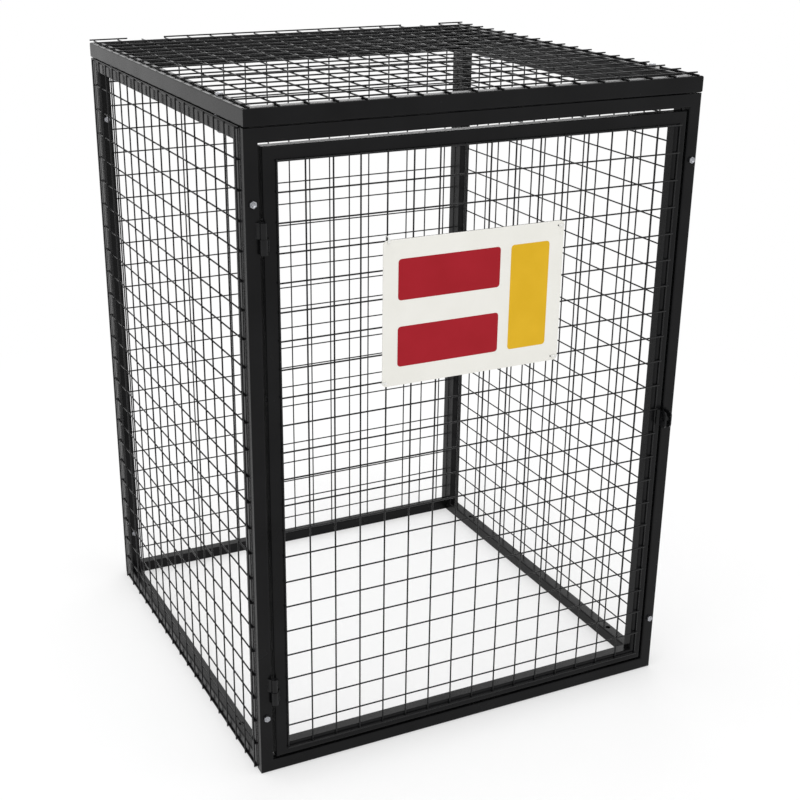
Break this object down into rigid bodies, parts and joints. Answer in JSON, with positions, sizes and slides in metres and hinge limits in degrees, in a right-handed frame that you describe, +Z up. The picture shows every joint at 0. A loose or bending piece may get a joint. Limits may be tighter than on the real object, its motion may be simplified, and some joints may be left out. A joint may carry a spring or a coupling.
{
  "type": "gas cylinder cage",
  "caption": "Free-standing gas cylinder cage of black wire mesh on square steel tube, with a hinged mesh door, padlock ears and a mesh roof, open at the bottom.",
  "frame": {"origin": "on the floor, at the bottom centre of the whole cage's bounding box", "axes": "+Z up, +X to the right seen from the door side, the door faces -Y"},
  "size_m": [0.9114, 0.9348, 1.2617],
  "materials": {
    "frame_paint": "gloss black powder coat on square steel tube",
    "wire_paint": "gloss black powder coat on welded wire",
    "zinc_steel": "bright zinc plate",
    "sign_sheet": "blank off-white plastic sheet"
  },
  "bodies": {
    "cage": {"front_left_post": "frame_paint", "front_right_post": "frame_paint", "front_top_rail": "frame_paint", "front_bottom_rail": "frame_paint", "left_front_stile": "frame_paint", "left_rear_stile": "frame_paint", "left_top_rail": "frame_paint", "left_bottom_rail": "frame_paint", "left_mesh_lower": "wire_paint", "left_mesh_upper": "wire_paint", "right_front_stile": "frame_paint", "right_rear_stile": "frame_paint", "right_top_rail": "frame_paint", "right_bottom_rail": "frame_paint", "right_mesh_lower": "wire_paint", "right_mesh_upper": "wire_paint", "back_left_stile": "frame_paint", "back_right_stile": "frame_paint", "back_top_rail": "frame_paint", "back_bottom_rail": "frame_paint", "back_mesh_lower": "wire_paint", "back_mesh_upper": "wire_paint", "roof_front_rail": "frame_paint", "roof_back_rail": "frame_paint", "roof_left_rail": "frame_paint", "roof_right_rail": "frame_paint", "roof_mesh": "wire_paint", "roof_spacers": "zinc_steel", "upper_hinge_post_half": "frame_paint", "lower_hinge_post_half": "frame_paint", "post_padlock_ear": "frame_paint"},
    "door": {"door_left_stile": "frame_paint", "door_right_stile": "frame_paint", "door_top_rail": "frame_paint", "door_bottom_rail": "frame_paint", "door_mesh": "wire_paint", "upper_hinge_door_half": "frame_paint", "lower_hinge_door_half": "frame_paint", "door_padlock_ear": "frame_paint", "sign_plate": "sign_sheet"}
  },
  "joints": [
    {"name": "door_hinge", "type": "hinge", "parent": "cage", "child": "door", "pos_m": [-0.422, -0.44935, 0.6125], "axis": [0, 0, -1], "range_deg": [0, 180]}
  ]
}
